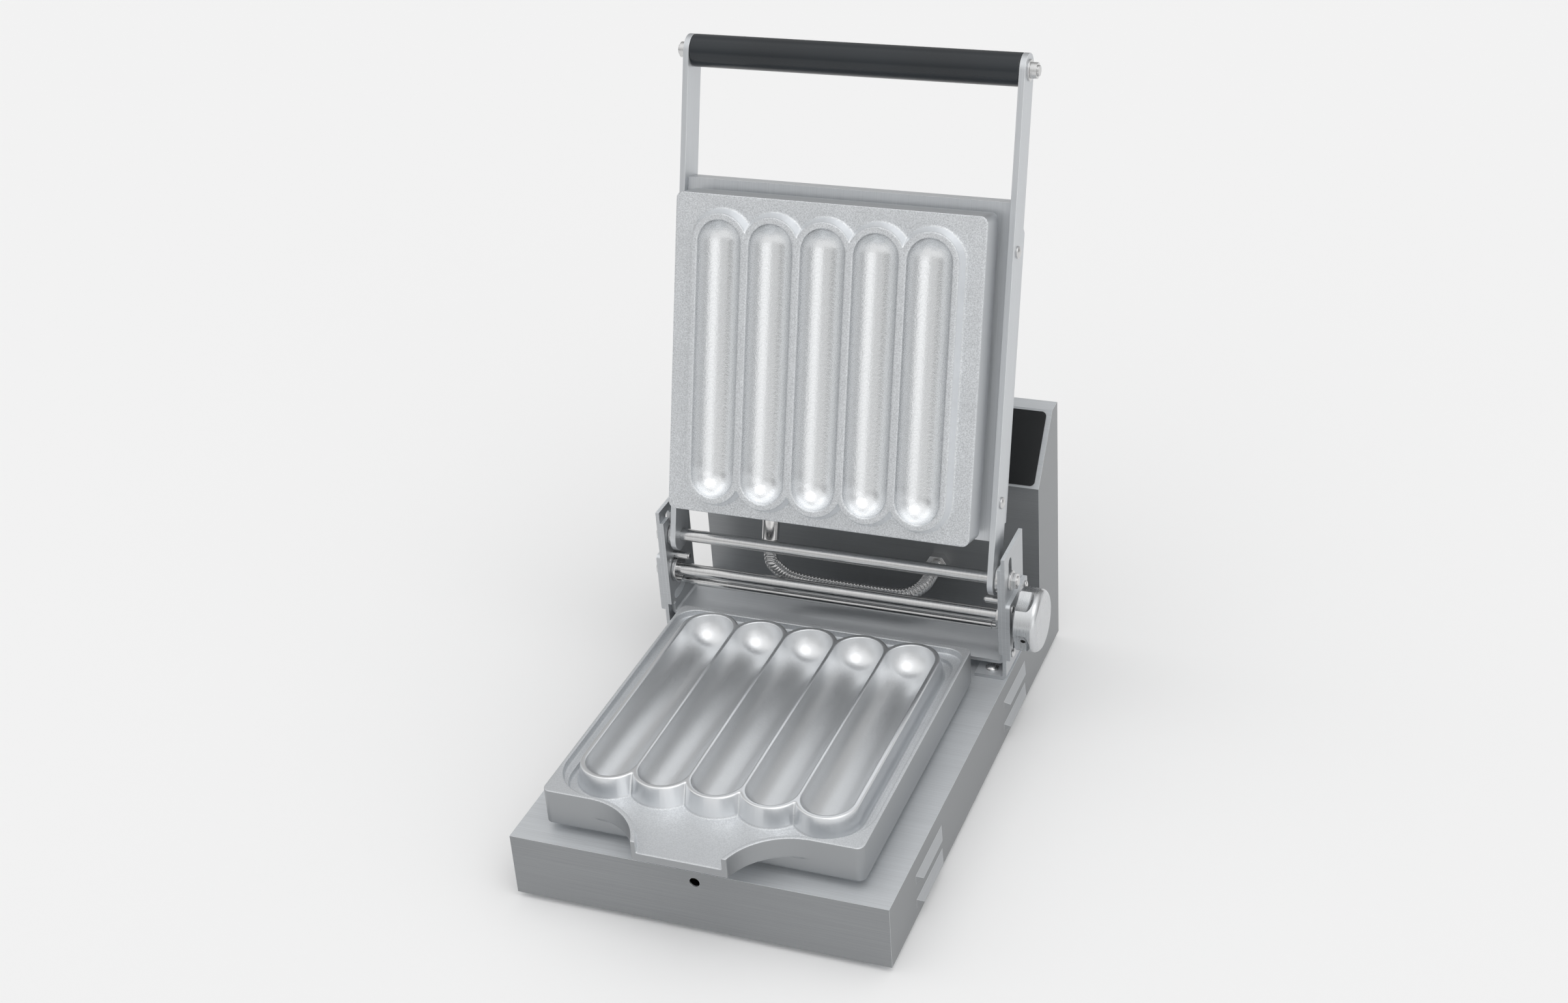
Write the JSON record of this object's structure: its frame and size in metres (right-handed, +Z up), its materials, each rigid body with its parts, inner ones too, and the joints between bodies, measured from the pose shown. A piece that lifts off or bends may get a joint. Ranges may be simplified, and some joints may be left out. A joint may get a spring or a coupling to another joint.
{
  "type": "stick baker",
  "caption": "Countertop electric stick baker with hinged cast plates, a floating lid hinge, side knob, loop handle and a control tower behind.",
  "frame": {"origin": "on the floor under the middle of the base, between the feet", "axes": "+X to the user's right (the knob's side), +Y to the back (the tower), +Z up"},
  "size_m": [0.3248, 0.4668, 0.5225],
  "materials": {
    "sheet_steel": "brushed stainless sheet",
    "turned_steel": "turned bright steel",
    "fasteners": "bright screws and nuts",
    "cast_aluminium": "cast, with polished cavities",
    "turned_aluminium": "turned satin",
    "bush_bronze": "plain bearing bronze",
    "element_sheath": "dull heater sheath",
    "grip_black": "satin charcoal grip",
    "foot_rubber": "matte",
    "overlay_film": "satin black film",
    "display_glass": "dark tinted window",
    "control_plastic": "moulded",
    "rocker_red": "moulded",
    "key_grey": "moulded",
    "circuit_board": "laminate",
    "mineral_wool": "pressed blanket",
    "conduit_steel": "ribbed bright metal hose",
    "fitting_nickel": "plated fittings"
  },
  "bodies": {
    "base": {"base_housing": "sheet_steel", "bottom_cover": "sheet_steel", "rear_panel": "sheet_steel", "left_hinge_bracket": "sheet_steel", "right_hinge_bracket": "sheet_steel", "hinge_channel": "sheet_steel", "left_bearing_plate": "sheet_steel", "right_bearing_plate": "sheet_steel", "stop_pins": "turned_steel", "platen_posts": "turned_steel", "plate_dowels": "turned_steel", "rear_panel_screws": "fasteners", "foot_screws": "fasteners", "bracket_screws": "fasteners", "bearing_plate_screws": "fasteners", "board_standoffs": "fasteners", "lower_plate": "cast_aluminium", "lower_platen": "cast_aluminium", "shaft_bushes": "bush_bronze", "lower_heating_element": "element_sheath", "rubber_feet": "foot_rubber", "control_overlay": "overlay_film", "display_window": "display_glass", "switch_housing": "control_plastic", "power_inlet": "control_plastic", "power_relay": "control_plastic", "terminal_block": "control_plastic", "control_board": "circuit_board", "base_insulation": "mineral_wool", "conduit_lower": "conduit_steel", "conduit_gland": "fitting_nickel"},
    "hinge_carriage": {"hinge_rod": "turned_steel", "rod_spacers": "turned_steel", "hinge_rod_nuts": "fasteners", "conduit_upper": "conduit_steel"},
    "lid": {"left_lid_arm": "sheet_steel", "right_lid_arm": "sheet_steel", "handle_grip": "grip_black", "handle_rod": "turned_steel", "handle_nuts": "fasteners", "lid_tray": "sheet_steel", "lid_rear_cover": "sheet_steel", "upper_platen": "cast_aluminium", "upper_heating_element": "element_sheath", "upper_plate": "cast_aluminium", "arm_screws": "fasteners", "lid_insulation": "mineral_wool", "conduit_ferrule": "fitting_nickel"},
    "lock_shaft_set": {"lock_shaft": "turned_steel", "shaft_collars": "turned_steel", "shaft_end_nut": "fasteners", "tie_bar": "turned_steel", "tie_bar_sleeve": "turned_steel", "crank_levers": "sheet_steel", "adjusting_knob": "turned_aluminium", "knob_set_screw": "fasteners"},
    "power_rocker": {"power_rocker": "rocker_red"},
    "control_key_1": {"control_key_1": "key_grey"},
    "control_key_2": {"control_key_2": "key_grey"},
    "control_key_3": {"control_key_3": "key_grey"}
  },
  "joints": [
    {"name": "hinge_float", "type": "slide", "parent": "base", "child": "hinge_carriage", "axis": [0, 0, 1], "range_m": [0, 0.016], "deforming": ["conduit_lower"]},
    {"name": "lid_hinge", "type": "hinge", "parent": "hinge_carriage", "child": "lid", "pos_m": [0, 0.081, 0.139], "axis": [1, 0, 0], "range_deg": [0, 106.3], "deforming": ["conduit_upper"]},
    {"name": "knob_turn", "type": "hinge", "parent": "base", "child": "lock_shaft_set", "pos_m": [0, 0.081, 0.106], "axis": [1, 0, 0], "range_deg": [-45, 0]},
    {"name": "rocker_tilt", "type": "hinge", "parent": "base", "child": "power_rocker", "pos_m": [-0.105, 0.18915, 0.19486], "axis": [1, 0, 0], "range_deg": [0, 20]},
    {"name": "key_1_press", "type": "slide", "parent": "base", "child": "control_key_1", "axis": [0, 0.7513, -0.66], "range_m": [0, 0.0015], "stiffness_N_per_m": 150, "springref_m": -0.001},
    {"name": "key_2_press", "type": "slide", "parent": "base", "child": "control_key_2", "axis": [0, 0.7513, -0.66], "range_m": [0, 0.0015], "stiffness_N_per_m": 150, "springref_m": -0.001},
    {"name": "key_3_press", "type": "slide", "parent": "base", "child": "control_key_3", "axis": [0, 0.7513, -0.66], "range_m": [0, 0.0015], "stiffness_N_per_m": 150, "springref_m": -0.001}
  ],
  "couplings": [
    {"joint": "hinge_float", "follows": "lid_hinge", "m_per_rad": 0.0081928}
  ]
}
